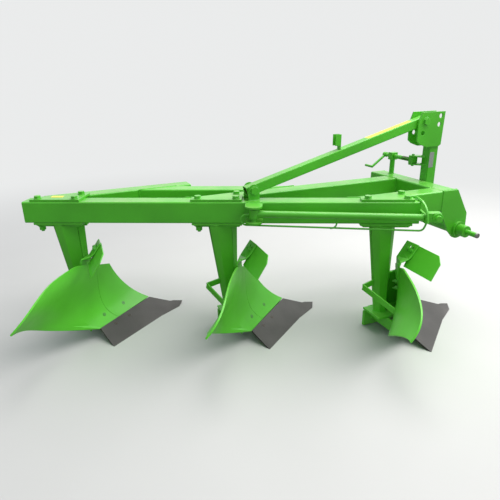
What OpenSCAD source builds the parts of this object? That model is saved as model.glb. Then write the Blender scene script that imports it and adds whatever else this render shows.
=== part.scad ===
// Mounted three furrow mouldboard plough.
// X is the way it is pulled, Y is to the left and Z is up; the ground is at Z 0.

/* [Furrows] */
// Forward distance from one plough body to the next
body_step = 730; // [700:5:760]
// Sideways distance from one plough body to the next, the furrow's width
furrow_w = 340; // [330:2:360]
// Height of the beam's underside over the ground
clearance_h = 614; // [590:2:660]

/* [Frame tubes] */
// Width of the frame tubes
tube_w = 100; // [90:2:104]
// Height of the frame tubes
tube_h = 110; // [100:2:116]
// Wall of the frame tubes
tube_wall = 8; // [5:0.5:12]
// Length of the main beam that carries the plough bodies
beam_l = 1980; // [1960:10:2060]
// Main beam behind the rear leg's middle
beam_tail = 205; // [180:5:230]
// Plates that close the tube ends
cap_t = 6; // [4:1:10]
// Gap between the main beam and the stiffening beam
beam_gap = 181; // [160:5:200]
// Slant of the two long rails to the way of travel
rail_slant = 3; // [1:0.5:5]
// Left rail: where its middle line crosses the rear leg's cross line
left_rail_y = 695; // [688:1:702]
// Front end of the left rail
left_rail_x = -205; // [-230:5:-190]
// Inner rail: its middle line at the cross member
inner_rail_y = 360; // [350:2:375]
// Gap between the cross member and the mast post
post_gap = 5; // [5:1:15]
// Left end of the cross member
cross_left_y = 560; // [545:5:580]

/* [Headstock] */
// Middle of the headstock, over the middle of the lower link pins
mast_y = 206; // [196:1:216]
// Middle of the headstock post and of the cross shaft
shaft_x = 1100; // [1098:1:1106]
// Height of the cross shaft below the frame
shaft_drop = 114; // [100:2:130]
// Cross shaft diameter
shaft_d = 65; // [60:1:70]
// Distance between the shoulders of the lower link pins
shoulder_span = 683; // [670:1:700]
// Lower link pin diameter
pin_d = 28; // [22:0.2:32]
// Lower link pin length outside its shoulder
pin_l = 75; // [60:1:90]
// Headstock side plates that carry the cross shaft: thickness
cheek_t = 12; // [8:1:14]
// Inner face of each shaft plate from the middle of the headstock
cheek_y = 266; // [260:1:270]
// Shaft bearing ring: outer diameter
ring_d = 86; // [80:1:96]
// Shaft bearing ring: length outside the plate
ring_l = 14; // [8:1:18]
// Side of the square mast post
post_w = 60; // [50:1:60]
// Top of the mast
mast_z = 1112; // [1090:2:1140]
// Thickness of the mast's two head plates
head_t = 10; // [8:1:12]
// Upper top link hole below the mast's top
top_hole_drop = 24; // [20:1:32]
// Height between the two top link holes
top_hole_gap = 46; // [44:1:60]
// Top link hole diameter
top_hole_d = 25.7; // [19.2:0.1:26]
// Travel of the headstock to each side by the crank screw
shift = 20; // [10:1:22]

/* [Brace and crank] */
// Side of the square brace from the mast to the beam
brace_w = 50; // [44:1:50]
// Wall of the brace
brace_wall = 5; // [4:0.5:6]
// Brace's pin below the mast's top
brace_top_drop = 50; // [44:1:57]
// Height of the brace's pin over the frame
brace_foot_h = 50; // [46:1:56]
// Brace pin diameter
brace_pin_d = 24; // [20:1:26]
// Crank screw diameter
screw_d = 22; // [18:1:24]
// Height of the crank screw as a share of the height from the frame to the mast's head
screw_part = 0.563; // [0.55:0.01:0.64]
// Crank arm length
crank_r = 120; // [90:5:130]

/* [Plough body] */
// Angle of the share's edge to the way of travel
share_angle = 38.4; // [36:0.2:41]
// Slope of the share
share_slope = 27; // [24:0.5:30]
// Length of the share's cutting edge
share_l = 565; // [540:5:580]
// Share plate thickness
share_t = 10; // [8:1:12]
// Mouldboard plate thickness
board_t = 8; // [6:0.5:9]
// Top of the mouldboard
board_z = 437; // [425:1:450]
// Height of the mouldboard's tail tip
tail_z = 314; // [300:1:325]
// Mouldboard's tail tip from the landside
tail_y = 659; // [640:1:675]
// Height of the shin's top
shin_z = 318; // [305:1:330]
// Height of the landside
landside_h = 86; // [75:1:95]
// Landside plate thickness
landside_t = 12; // [10:1:14]
// Landside's rear end behind the share's tip
landside_l = 583; // [560:5:620]
// Leg's depth along the beam at its top
leg_top_l = 152; // [140:1:160]
// Leg's depth at its foot
leg_foot_l = 72; // [66:1:80]
// Leg's width across
leg_w = 60; // [54:1:64]

/* [Hidden] */
PLACES = ["rear", "middle", "front"];
$fn = 48;
green = [0.33, 0.78, 0.13];
share_grey = [0.3, 0.3, 0.31];
// Seat gap between pieces that are bolted face to face, and play at moving pins
seat = 0.3;
play = 0.5;
big = 3000;

// Frame lines. Plan positions are taken from a point near the plough's middle,
// which placed() moves to the middle of its plan.
frame_top = clearance_h + tube_h;
shaft_z = clearance_h - shaft_drop;
top_hole_z = mast_z - top_hole_drop;
brace_top_z = mast_z - brace_top_drop;
head_h = 191;
beam_angle = atan(furrow_w / body_step);
cross_x = shaft_x - post_w / 2 - post_gap - tube_w;
rear_tip = [-317, 665];
leg_back = 572;
leg_in = 75;
leg_1 = rear_tip - [leg_back, leg_in];
leg_gap = norm([body_step, furrow_w]);
half_w = tube_w / 2;
stiff_n = tube_w + beam_gap;
bearing_out = cheek_y + cheek_t;
shaft_nose = 53;

// Moves plan positions so that the middle of the plough's plan is the origin
module placed() {
    translate([-mid_x, -mid_y, 0]) children();
}

// Frame with X along the main beam from the rear leg and Y to the beam's left
module along_beam(a = 0, n = 0, z = 0) {
    placed() translate([leg_1.x, leg_1.y, 0]) rotate([0, 0, -beam_angle])
        translate([a, n, z]) children();
}

// Frame of one plough body: X from the share's tip, Y from the landside's outer face
module at_body(i) {
    placed() translate([rear_tip.x + i * body_step, rear_tip.y - i * furrow_w, 0]) children();
}

// Box tube along X, with its ends closed when cap is over 0
module box_tube(l, w, h, wall, cap = 0) {
    difference() {
        translate([0, -w / 2, 0]) cube([l, w, h]);
        translate([cap > 0 ? cap : -1, wall - w / 2, wall])
            cube([cap > 0 ? l - 2 * cap : l + 2, w - 2 * wall, h - 2 * wall]);
    }
}

// Everything to the right of the main beam's line at distance n
module right_of_beam(n) {
    translate([leg_1.x, leg_1.y, 0]) rotate([0, 0, -beam_angle])
        translate([-big, n - big, -big]) cube(2 * [big, big / 2, big]);
}

// Pin or washer along Y, centred at the origin
module along_y(d, l) {
    rotate([90, 0, 0]) cylinder(d = d, h = l, center = true);
}

// Frame tubes

module main_beam() {
    color(green) along_beam(-beam_tail, 0, clearance_h)
        box_tube(beam_l, tube_w, tube_h, tube_wall, cap_t);
}

// Line of a rail: from plan point p at a slant to the way of travel
module rail_line(p, slant) {
    translate([p.x, p.y, 0]) rotate([0, 0, slant]) children();
}

left_start = [leg_1.x, left_rail_y];
left_l = (left_rail_x - leg_1.x) / cos(rail_slant);
module left_rail() {
    color(green) placed() difference() {
        rail_line(left_start, rail_slant) translate([-tube_w, 0, clearance_h])
            box_tube(left_l + tube_w, tube_w, tube_h, tube_wall, cap_t);
        right_of_beam(half_w);
    }
}

inner_slant = 1.5;
inner_l = (cross_x - leg_1.x) / cos(inner_slant);
module inner_rail() {
    color(green) placed() difference() {
        rail_line([cross_x, inner_rail_y], inner_slant) translate([-inner_l, 0, clearance_h])
            box_tube(inner_l + tube_w, tube_w, tube_h, tube_wall);
        right_of_beam(half_w);
        translate([cross_x, -big, 0]) cube(2 * big);
    }
}

outer_rail_y = mast_y - bearing_out + half_w;
outer_l = cross_x - leg_1.x;
module outer_rail() {
    color(green) placed() difference() {
        translate([cross_x - outer_l, outer_rail_y, clearance_h])
            box_tube(outer_l, tube_w, tube_h, tube_wall);
        right_of_beam(half_w);
    }
}

// Stiffening beam between the left rail and the inner rail
module stiff_beam() {
    color(green) difference() {
        along_beam(0, stiff_n, clearance_h) box_tube(beam_l, tube_w, tube_h, tube_wall);
        placed() rail_line(left_start, rail_slant)
            translate([-big, -half_w, -big]) cube(2 * big);
        placed() rail_line([cross_x, inner_rail_y], inner_slant)
            translate([-big, half_w - 2 * big, -big]) cube(2 * big);
    }
}

cross_right_y = mast_y - cheek_y;
module cross_member() {
    color(green) placed() translate([cross_x + half_w, cross_right_y, clearance_h])
        rotate([0, 0, 90]) {
            box_tube(cross_left_y - cross_right_y - cap_t, tube_w, tube_h, tube_wall);
            translate([cross_left_y - cross_right_y - cap_t, -half_w - cap_t, 0])
                cube([cap_t, tube_w + cap_t, tube_h]);
        }
}

// Plate that carries the cross shaft, drawn in X and Z
plate_top = cross_x + tube_w;
module shaft_plate_outline(top) {
    difference() {
        union() {
            polygon([
                [cross_x, top], [plate_top, top], [shaft_x + 50, shaft_z + 86],
                [shaft_x + shaft_nose, shaft_z + 20], [shaft_x + shaft_nose, shaft_z],
                [shaft_x, shaft_z - shaft_nose], [shaft_x - 30, shaft_z - 44],
                [cross_x + 65, shaft_z - 4], [cross_x + 30, shaft_z + 55],
                [cross_x, clearance_h]
            ]);
            translate([shaft_x, shaft_z]) circle(r = shaft_nose);
        }
        translate([shaft_x, shaft_z]) circle(d = shaft_d + 2 * play);
    }
}

// Shaft plate with its bearing ring: side is -1 on the right and 1 on the left
module shaft_plate(side, top) {
    color(green) placed() translate([0, mast_y, 0]) {
        translate([0, side * (cheek_y + cheek_t / 2), 0]) rotate([90, 0, 0])
            linear_extrude(cheek_t, center = true) shaft_plate_outline(top);
        translate([shaft_x, side * (bearing_out + ring_l / 2), shaft_z]) rotate([90, 0, 0])
            linear_extrude(ring_l, center = true) difference() {
                circle(d = ring_d);
                circle(d = shaft_d + 2 * play);
            }
    }
}

module shaft_plate_right() {
    shaft_plate(-1, frame_top);
}

module shaft_plate_left() {
    shaft_plate(1, clearance_h);
}

// Plates under which the legs are bolted: one on the beam's top over each leg
plate_t = 12;
plate_rear = 165;
plate_front = 90;
plate_near = 45;
plate_far = 105;
// How far each plate pair sits ahead of its leg, from the rear
plate_shift = [0, 13, 46];
module leg_plate_outline(i) {
    translate([plate_shift[i], 0]) polygon([
        [-plate_rear, -plate_near], [plate_front, -plate_near], [plate_front, plate_far],
        [plate_front - 70, plate_far], [-plate_rear, 5]
    ]);
}

module leg_plates() {
    color(green) for (i = [0 : 2])
        along_beam(i * leg_gap, 0, frame_top) linear_extrude(plate_t) leg_plate_outline(i);
}

// Headstock

shoulder = shoulder_span / 2;
module cross_shaft() {
    color(green) placed() translate([shaft_x, mast_y, shaft_z]) {
        along_y(shaft_d, shoulder_span);
        for (side = [-1, 1])
            translate([0, side * (shoulder + pin_l / 2), 0]) along_y(pin_d, pin_l);
    }
}

post_wall = 6;
post_top = top_hole_z - top_hole_gap - 42;
module mast_post() {
    color(green) placed() translate([shaft_x, mast_y, 0]) difference() {
        translate([-post_w / 2, -post_w / 2, shaft_z]) cube([post_w, post_w, post_top - shaft_z]);
        translate([post_wall - post_w / 2, post_wall - post_w / 2, shaft_z - 1])
            cube([post_w - 2 * post_wall, post_w - 2 * post_wall, post_top - shaft_z - cap_t]);
        translate([0, 0, shaft_z]) along_y(shaft_d + 2 * seat, 2 * post_w);
    }
}

// Head plates on both sides of the post, with the brace's and the top link's holes
brace_top_x = shaft_x - 89;
top_hole_x = shaft_x + 12;
module head_outline() {
    difference() {
        polygon([
            [-128, mast_z - 24], [-120, mast_z - 2], [40, mast_z], [36, mast_z - 128],
            [34, mast_z - head_h + 9], [18, mast_z - head_h], [-68, mast_z - head_h],
            [-115, mast_z - head_h + 17], [-138, mast_z - head_h + 35], [-140, mast_z - 58]
        ]);
        translate([brace_top_x - shaft_x, brace_top_z]) circle(d = brace_pin_d + 2 * seat);
        translate([-104, brace_top_z - 63]) circle(d = brace_pin_d + 2 * seat);
        for (k = [0, 1])
            translate([top_hole_x - shaft_x - 6 * k, top_hole_z - k * top_hole_gap])
                circle(d = top_hole_d);
    }
}

module mast_head() {
    color(green) placed() for (side = [-1, 1])
        translate([shaft_x, mast_y + side * (post_w + head_t) / 2, 0]) rotate([90, 0, 0])
            linear_extrude(head_t, center = true) head_outline();
}

// Clevis on the post that holds the end of the crank screw
screw_x = shaft_x - 62;
screw_z = frame_top + screw_part * (mast_z - head_h - frame_top);
eye_y = mast_y + 64;
ear_gap = 38;
ear_t = 8;
ear_r = 24;
clevis_pin_d = 16;
module clevis_ear() {
    difference() {
        hull() {
            translate([screw_x, eye_y]) circle(r = ear_r, $fn = 32);
            translate([shaft_x - post_w / 2, mast_y + post_w / 2]) square([post_w * 0.75, 4]);
            translate([shaft_x - post_w / 2 - 4, mast_y]) square([4, post_w / 2]);
        }
        translate([shaft_x - post_w / 2, mast_y - post_w / 2]) square(post_w);
        translate([screw_x, eye_y]) circle(d = clevis_pin_d + 2 * seat);
    }
}

module screw_clevis() {
    color(green) placed() {
        for (side = [-1, 1])
            translate([0, 0, screw_z + side * (ear_gap + ear_t) / 2])
                linear_extrude(ear_t, center = true) clevis_ear();
        translate([screw_x, eye_y, screw_z])
            cylinder(d = clevis_pin_d, h = ear_gap + 2 * ear_t + 16, center = true);
    }
}

// Upright pin with the nut block that the crank screw runs in
nut_y = 450;
nut_l = 36;
nut_w = 44;
nut_pin_d = 30;
module screw_post() {
    color(green) placed() translate([screw_x, nut_y, 0]) difference() {
        union() {
            translate([0, 0, frame_top]) cylinder(d = nut_pin_d, h = screw_z - frame_top - nut_w / 2);
            translate([-nut_w / 2, -nut_l / 2, screw_z - nut_w / 2]) cube([nut_w, nut_l, nut_w]);
        }
        translate([0, 0, screw_z]) along_y(screw_d + 2 * play, 2 * nut_l);
    }
}

crank_y = nut_y + nut_l / 2 + shift + 20;
hub_l = 26;
crank_d = 15;
crank_drop = 36;
grip_l = 68;
module crank_screw() {
    color(green) placed() translate([screw_x, 0, screw_z]) {
        difference() {
            translate([-18, eye_y - 18, -ear_gap / 2 + 1]) cube([36, 36, ear_gap - 2]);
            translate([0, eye_y, 0])
                cylinder(d = clevis_pin_d + 2 * seat, h = 2 * ear_gap, center = true);
        }
        translate([0, eye_y + 18, 0]) rotate([-90, 0, 0])
            cylinder(d = screw_d, h = crank_y - eye_y - 18);
        translate([0, crank_y, 0]) rotate([-90, 0, 0]) cylinder(d = 30, h = hub_l);
        translate([0, crank_y + hub_l / 2, 0]) rotate([0, -90 - crank_drop, 0]) {
            cylinder(d = crank_d, h = crank_r);
            translate([0, 0, crank_r]) sphere(d = crank_d);
            translate([0, 0, crank_r]) rotate([-90, 0, 0]) cylinder(d = crank_d, h = grip_l);
        }
    }
}

// Brace from the mast's head back to the lug on the main beam

brace_foot_x = -15;
brace_foot_z = frame_top + brace_foot_h;
brace_run = brace_top_x - brace_foot_x;
brace_rise = brace_top_z - brace_foot_z;
brace_tilt = atan(brace_rise / brace_run);
brace_span = norm([brace_run, brace_rise]);
brace_back = 34;
brace_front = 30;
swing_play = 0.8;
module brace() {
    color(green) placed() translate([brace_foot_x, mast_y, brace_foot_z])
        rotate([0, -brace_tilt, 0]) difference() {
            translate([-brace_back, 0, -brace_w / 2])
                box_tube(brace_back + brace_span + brace_front, brace_w, brace_w, brace_wall);
            for (x = [0, brace_span])
                translate([x, 0, 0]) along_y(brace_pin_d + 2 * swing_play, 2 * brace_w);
        }
}

// Upright channel on the brace's top, open to the rear, that holds hoses
clip_along = 528;
clip_l = 34;
clip_w = 30;
clip_h = 76;
clip_t = 5;
clip_foot = 18;
module brace_clip() {
    color(green) placed() translate([brace_foot_x, mast_y, brace_foot_z])
        rotate([0, -brace_tilt, 0]) translate([clip_along, 0, brace_w / 2]) rotate([0, brace_tilt, 0])
            difference() {
                translate([-clip_l, -clip_w / 2, 0]) cube([clip_l, clip_w, clip_h]);
                translate([-clip_l - 1, clip_t - clip_w / 2, -1])
                    cube([clip_l - clip_t + 1, clip_w - 2 * clip_t, clip_h + 2]);
                translate([-clip_l - 1, -clip_w, -1]) cube([clip_l - clip_t + 1, 2 * clip_w, clip_foot + 1]);
                rotate([0, -brace_tilt, 0]) translate([-clip_l, -clip_w, seat - clip_h])
                    cube([2 * clip_l, 2 * clip_w, clip_h]);
            }
}

lug_t = 8;
lug_w = 60;
lug_gap = brace_w + 4;
module brace_lug() {
    color(green) placed() for (side = [-1, 1])
        translate([brace_foot_x, mast_y + side * (lug_gap + lug_t) / 2, 0]) rotate([90, 0, 0])
            linear_extrude(lug_t, center = true) difference() {
                union() {
                    translate([-lug_w / 2, frame_top]) square([lug_w, brace_foot_h]);
                    translate([0, brace_foot_z]) circle(d = lug_w);
                }
                translate([0, brace_foot_z]) circle(d = brace_pin_d + 2 * seat);
            }
}

// Bolts through the brace's two ends: pin_t is the head's thickness
module cross_bolt(grip) {
    along_y(brace_pin_d, grip);
    for (side = [-1, 1])
        translate([0, side * (grip / 2 + 7), 0]) along_y(brace_pin_d * 1.5, 14);
}

module lug_pin() {
    color(green) placed() translate([brace_foot_x, mast_y, brace_foot_z])
        cross_bolt(lug_gap + 2 * lug_t);
}

module mast_pin() {
    color(green) placed() translate([brace_top_x, mast_y, brace_top_z])
        cross_bolt(post_w + 2 * head_t);
}

// Side tube along the main beam, swung on an upright pin in two ears

swing_a = 970;
swing_n = -106;
swing_pin_d = 30;
swing_top = frame_top - 3;
swing_low = clearance_h + 20;
swing_t = 10;
swing_r = 42;
module swing_ears() {
    color(green) along_beam(swing_a, 0, 0) {
        for (z = [swing_top - swing_t, swing_low])
            translate([0, 0, z]) linear_extrude(swing_t) union() {
                translate([0, swing_n]) circle(r = swing_r);
                translate([-swing_r, swing_n]) square([2 * swing_r, -swing_n - half_w]);
            }
        translate([0, swing_n, swing_low]) cylinder(d = swing_pin_d, h = swing_top - swing_low);
    }
}

side_d = 33;
side_z = clearance_h + 67;
side_l = beam_l - beam_tail - swing_a;
side_drop = 1.2;
sleeve_d = swing_pin_d + 14;
sleeve_l = 44;
flare = [8, 64];
flare_h = [24, 12];
module side_tube() {
    color(green) along_beam(swing_a, swing_n, side_z) difference() {
        union() {
            cylinder(d = sleeve_d, h = sleeve_l, center = true);
            rotate([0, 90 + side_drop, 0]) cylinder(d = side_d, h = side_l);
            rotate([0, side_drop, 0]) rotate([90, 0, 0]) linear_extrude(20, center = true) polygon([
                [flare[0], -flare_h[0] + 2], [flare[0], flare_h[0] - 2],
                [flare[1], flare_h[1]], [flare[1], -flare_h[1]]
            ]);
        }
        cylinder(d = swing_pin_d + 2 * seat, h = 2 * sleeve_l, center = true);
    }
}

// Arm on the beam's front end with the block in front of the side tube, and its cross bolt
arm_t = 12;
arm_n = [-126, 30];
arm_z = [clearance_h + 26, clearance_h + 68];
block_l = 64;
block_n = [-126, -86];
block_z = [clearance_h + 31, clearance_h + 76];
washer_d = 47;
module side_block() {
    color(green) along_beam(beam_l - beam_tail + seat, 0, 0) {
        translate([0, arm_n[0], arm_z[0]]) cube([arm_t, arm_n[1] - arm_n[0], arm_z[1] - arm_z[0]]);
        translate([arm_t, block_n[0], block_z[0]])
            cube([block_l, block_n[1] - block_n[0], block_z[1] - block_z[0]]);
        translate([arm_t + block_l - 18, block_n[0], (block_z[0] + block_z[1]) / 2]) {
            translate([0, -4, 0]) along_y(washer_d, 8);
            translate([0, -14, 0]) along_y(28, 14);
        }
    }
}

// Bent bar from the beam's top down in front of the side tube's end
bend_swell = 0.8;
latch_d = 13;
latch_z = frame_top + (latch_d + bend_swell) / 2 + seat;
latch_pts = [[-20, 34, 0], [-4, 6, 3], [3, -70, -3], [7, -130, -32], [8, -146, -86]];
module latch_bar() {
    color(green) along_beam(beam_l - beam_tail, 0, latch_z) rod_run(latch_pts, latch_d);
}

// Rod hung under the side tube
rod_d = 9;
rod_n = swing_n;
rod_pts = [
    [-27, 0, -3], [-52, 0, -6], [-66, 0, -31], [-50, 0, -56], [808, 0, -83], [822, 0, -42]
];
module rod_run(pts, d) {
    for (k = [0 : len(pts) - 2]) {
        v = pts[k + 1] - pts[k];
        translate(pts[k]) sphere(d = d + bend_swell, $fn = 24);
        translate(pts[k]) rotate([0, acos(v.z / norm(v)), atan2(v.y, v.x)])
            cylinder(d = d, h = norm(v), $fn = 24);
    }
    translate(pts[len(pts) - 1]) sphere(d = d + bend_swell, $fn = 24);
}

module parking_rod() {
    color(green) along_beam(swing_a, rod_n, side_z) rod_run(rod_pts, rod_d);
}

// Plough body: the mouldboard's surface has level straight lines, whose angle to
// the way of travel grows with height, set off from the curved line of the shin

shin_y = 3;
seam_y = 170;
seam_z = 78;
seam_lean = 0.228;
share_end_y = 265;
joint_front_z = 70;
joint_wing_z = 57;
arc_x = 27;
arc_z = 452;
arc_r = 440;
arc_low = 40;
twist_z = 60;
twist = [1.64, 62, -40.2];

// Distance of the shin's line behind the share's tip at height z
function shin_back(z) =
    let (zt = min(max(z, arc_low), shin_z), rise = arc_z - zt, run = sqrt(arc_r ^ 2 - rise ^ 2))
    run - arc_x + (z - zt) * rise / run;
// Angle of the level line at height z, with twist as a cubic from the share to the top
function line_angle(z) =
    let (h = max(z - twist_z, 0) / (board_z - twist_z))
    share_angle + h * (twist[0] + h * (twist[1] + h * twist[2]));
// Point of the working surface at distance y from the landside and height z
function board_point(y, z) = [-shin_back(z) - (y - shin_y) / tan(line_angle(z)), -y, z];
// Unit normal on the working side
function board_normal(y, z) =
    let (a = board_point(y + 1, z) - board_point(y - 1, z), b = board_point(y, z + 1) - board_point(y, z - 1),
        n = cross(b, a))
    n / norm(n);
// Lower and upper edge of the plates at distance y from the landside
function low_edge(y) =
    y < share_end_y
        ? joint_front_z + (joint_wing_z - joint_front_z) * (y - shin_y) / (share_end_y - shin_y)
        : joint_wing_z + (tail_z - 4 - joint_wing_z)
            * (1 - pow(1 - (y - share_end_y) / (tail_y - share_end_y), edge_bow));
crest_y = 432;
edge_bow = 1.42;
corner_y = 250;
corner_drop = 14;
function high_edge(y) =
    y > crest_y
        ? tail_z + (board_z - tail_z) * sqrt(max(0, 1 - pow((y - crest_y) / (tail_y - crest_y), 2)))
        : y > corner_y
            ? board_z - corner_drop * pow((crest_y - y) / (crest_y - corner_y), 2)
            : shin_z + (board_z - corner_drop - shin_z) * (y - shin_y) / (corner_y - shin_y);

// Column of the plate grid: c is its distance from the landside at the share, lean
// is how far it follows the slant of the shin's seam, and part is its share of the height
function column(c, lean, rows, back, part) =
    let (lo = low_edge(c), top = high_edge(c - lean * seam_lean * (high_edge(c) - seam_z)))
    [for (j = [0 : rows]) let (f = part[0] + (part[1] - part[0]) * j / rows,
        z = lo + (top - lo) * f, y = c - lean * seam_lean * (z - seam_z))
        board_point(y, z) - back * board_normal(y, z)];

// Closed plate between two offsets of the surface, over a list of columns [c, lean]
module curved_plate(cols, rows, from, to, part = [0, 1]) {
    n = len(cols);
    m = rows + 1;
    front = [for (c = cols) each column(c[0], c[1], rows, from, part)];
    rear = [for (c = cols) each column(c[0], c[1], rows, to, part)];
    off = n * m * [1, 1, 1];
    quads = [for (i = [0 : n - 2], j = [0 : rows - 1])
        [i * m + j, (i + 1) * m + j, (i + 1) * m + j + 1, i * m + j + 1]];
    rim = concat(
        [for (i = [0 : n - 2]) [i * m, i * m + m]],
        [for (j = [0 : rows - 1]) [(n - 1) * m + j, (n - 1) * m + j + 1]],
        [for (i = [n - 1 : -1 : 1]) [i * m + rows, i * m - m + rows]],
        [for (j = [rows : -1 : 1]) [j, j - 1]]);
    faces = concat(
        [for (q = quads) each [[q[0], q[1], q[2]], [q[0], q[2], q[3]]]],
        [for (q = quads) each [[q[2], q[1], q[0]] + off, [q[3], q[2], q[0]] + off]],
        [for (e = rim) each [[e[1], e[0], e[0] + n * m], [e[1], e[0] + n * m, e[1] + n * m]]]);
    polyhedron(points = concat(front, rear), faces = faces, convexity = 6);
}

// Middle of the plough's plan, between its outermost faces
tail_back = 0.7 * board_t - board_point(tail_y, tail_z).x;
mid_x = (rear_tip.x - tail_back + shaft_x + shaft_nose) / 2;
rail_left_edge = left_rail_y + (left_rail_x - leg_1.x) * tan(rail_slant) + half_w;
mid_y = (rear_tip.y - 2 * furrow_w - tail_y + rail_left_edge) / 2;

seam_gap = 1;
shin_steps = 5;
shin_cols = [for (k = [0 : shin_steps])
    [shin_y + (seam_y - shin_y) * k / shin_steps, k / shin_steps]];
board_lead = 6;
board_mid = 4;
board_tail = 14;
board_y = seam_y + seam_gap;
board_cols = concat(
    [for (k = [0 : board_lead])
        [board_y + (share_end_y - board_y) * k / board_lead, 1 - k / board_lead]],
    [for (k = [1 : board_mid]) [share_end_y + (crest_y - share_end_y) * k / board_mid, 0]],
    [for (k = [1 : board_tail])
        [crest_y + (tail_y - crest_y) * sin(88 * k / board_tail), 0]]);
plate_rows = 12;

module shin() {
    color(green) curved_plate(shin_cols, plate_rows, 0, board_t);
}

module mouldboard() {
    color(green) curved_plate(board_cols, plate_rows, 0, board_t);
}

// Space taken by the shin and the mouldboard, with a seat gap behind them
board_seat = 0.7;
space_y = [-11, 385];
space_n = 12;
space_cols = [for (k = [0 : space_n]) [space_y[0] + (space_y[1] - space_y[0]) * k / space_n, 0]];
module board_space() {
    curved_plate(space_cols, 16, -60, board_t + board_seat, [-0.2, 1.03]);
}

// Share: a sloping plate cut level on its underside, with a drawn point. Its plane
// has X back along the cutting edge and Y up the slope
tip_y = 30;
joint_gap = 4;
module at_edge() {
    translate([0, -tip_y, 0]) rotate([0, 0, 180 + share_angle]) mirror([0, 1, 0]) children();
}

module on_share() {
    at_edge() rotate([share_slope, 0, 0]) children();
}

module above_ground() {
    intersection() {
        children();
        translate([-big / 2, -big / 2, 0]) cube(big);
    }
}

// Corner of the share where it meets the plates' lower edge at distance y
function share_corner(y) =
    let (p = board_point(y, low_edge(y)), u = -p.x, v = -p.y - tip_y)
    [u * cos(share_angle) + v * sin(share_angle),
        (u * sin(share_angle) - v * cos(share_angle)) / cos(share_slope) - joint_gap];

// The point is drawn forward and down into a blunt nose, in a plane of its own
nose_from = 186;
nose_turn = 6.4;
nose_slope = 19.4;
nose_lift = 1.5;
nose_t = 16;
nose_pts = [[0, 0], [144, 0], [195, 27], [150, 60], [95, 80], [20, 12]];
module share() {
    color(share_grey) above_ground() {
        on_share() translate([0, 0, -share_t]) linear_extrude(share_t)
            polygon([[0, 0], [share_l, 0], share_corner(share_end_y), share_corner(shin_y)]);
        at_edge() translate([nose_from, 0, 0]) rotate([0, 0, 180 + nose_turn]) mirror([0, 1, 0])
            rotate([nose_slope, -nose_lift, 0]) translate([0, 0, -nose_t])
                linear_extrude(nose_t) polygon(nose_pts);
    }
}

landside_front = 100;
module landside() {
    color(green) rotate([90, 0, 0]) linear_extrude(landside_t) polygon([
        [-landside_front, 0], [-landside_l, 0], [-landside_l, landside_h],
        [-landside_front - 155, landside_h], [-landside_front - 108, landside_h - 26],
        [-landside_front, 25]
    ]);
}

// Leg: a hollow column of flattened eight sided section that tapers to its foot
foot_z = 110;
foot_back = 540;
leg_wall = 6;
flange_t = 12;
leg_top = clearance_h - flange_t;
weld_in = 2;
// Corners of the section, as shares of its depth and width
leg_corners = [
    [0.5, 0.13], [0.25, 0.5], [-0.25, 0.5], [-0.5, 0.13],
    [-0.5, -0.13], [-0.25, -0.5], [0.25, -0.5], [0.5, -0.13]
];
function leg_depth(z) = leg_foot_l + (leg_top_l - leg_foot_l) * (z - foot_z) / (leg_top - foot_z);
function leg_x(z) = -foot_back - (leg_back - foot_back) * (z - foot_z) / (leg_top - foot_z);
function leg_ring(z, inset) =
    [for (c = leg_corners)
        [leg_x(z) + c.x * (leg_depth(z) - 2 * inset), c.y * (leg_w - 2 * inset) - leg_in, z]];

module leg_solid(inset, low, high) {
    n = len(leg_corners);
    polyhedron(points = concat(leg_ring(low, inset), leg_ring(high, inset)), faces = concat(
        [[for (i = [0 : n - 1]) i], [for (i = [n - 1 : -1 : 0]) n + i]],
        [for (i = [0 : n - 1]) let (k = (i + 1) % n) each [[k, i, n + i], [k, n + i, n + k]]]));
}

module leg(i) {
    color(green) {
        difference() {
            leg_solid(0, foot_z, leg_top + weld_in);
            leg_solid(leg_wall, foot_z - 1, leg_top - weld_in);
        }
        translate([-leg_back, -leg_in, leg_top]) rotate([0, 0, -beam_angle])
            linear_extrude(flange_t) leg_plate_outline(i);
    }
}

// Frog: the body's web plate with a foot plate that carry the share, the shin and the leg
web_t = 16;
rib_t = 12;
rib_y = 150;
web_rear = 600;
web_back = 522;
web_top = 300;
web_y = landside_t + web_t;
block_h = 140;
cross_x_back = 548;
cross_y = 244;
seat_t = 12;
seat_x = [110, 470];
seat_y = [60, 108];
board_lead_x = 16;
module foot_plate(z) {
    translate([0, 0, z]) linear_extrude(rib_t) polygon([
        [-web_rear, -landside_t - 1], [board_point(web_y, z).x + board_lead_x, -landside_t - 1],
        [board_point(web_y, z).x + board_lead_x, -web_y],
        [board_point(rib_y, z).x + board_lead_x, -rib_y], [-web_rear, -rib_y]
    ]);
}

module frog() {
    color(green) difference() {
        union() {
            translate([0, -landside_t, 0]) rotate([90, 0, 0]) linear_extrude(web_t)
                polygon(concat(
                    [[-landside_front - 15, 4], [-web_rear, 4], [-web_rear, landside_h + 2],
                        [-web_rear + 35, foot_z - 2], [-web_back, foot_z],
                        [-web_back, web_top - 60], [-web_back + 22, web_top]],
                    [for (z = [web_top : -40 : 60]) [board_point(web_y, z).x + board_lead_x, z]],
                    [[-landside_front - 15, 24]]));
            translate([-web_back, -leg_in, foot_z - rib_t])
                cube([24, leg_in - landside_t - 1, block_h]);
            foot_plate(foot_z - rib_t);
            translate([-cross_x_back, -cross_y, foot_z - 70]) cube([10, cross_y - landside_t - 1, 60]);
        }
        board_space();
        leg_solid(-seat, foot_z - seat, leg_top);
    }
    color(green) above_ground() on_share() translate([0, 0, -share_t - seat - seat_t])
        linear_extrude(seat_t) translate([seat_x[0], seat_y[0]])
            square([seat_x[1] - seat_x[0], seat_y[1] - seat_y[0]]);
}

// Flat bar between two points, with its broad side upright
module flat_bar(p, q, w, t) {
    v = q - p;
    translate(p) rotate([0, 0, atan2(v.y, v.x)]) rotate([0, -asin(v.z / norm(v)), 0])
        translate([0, -t / 2, -w / 2]) cube([norm(v), t, w]);
}

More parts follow.
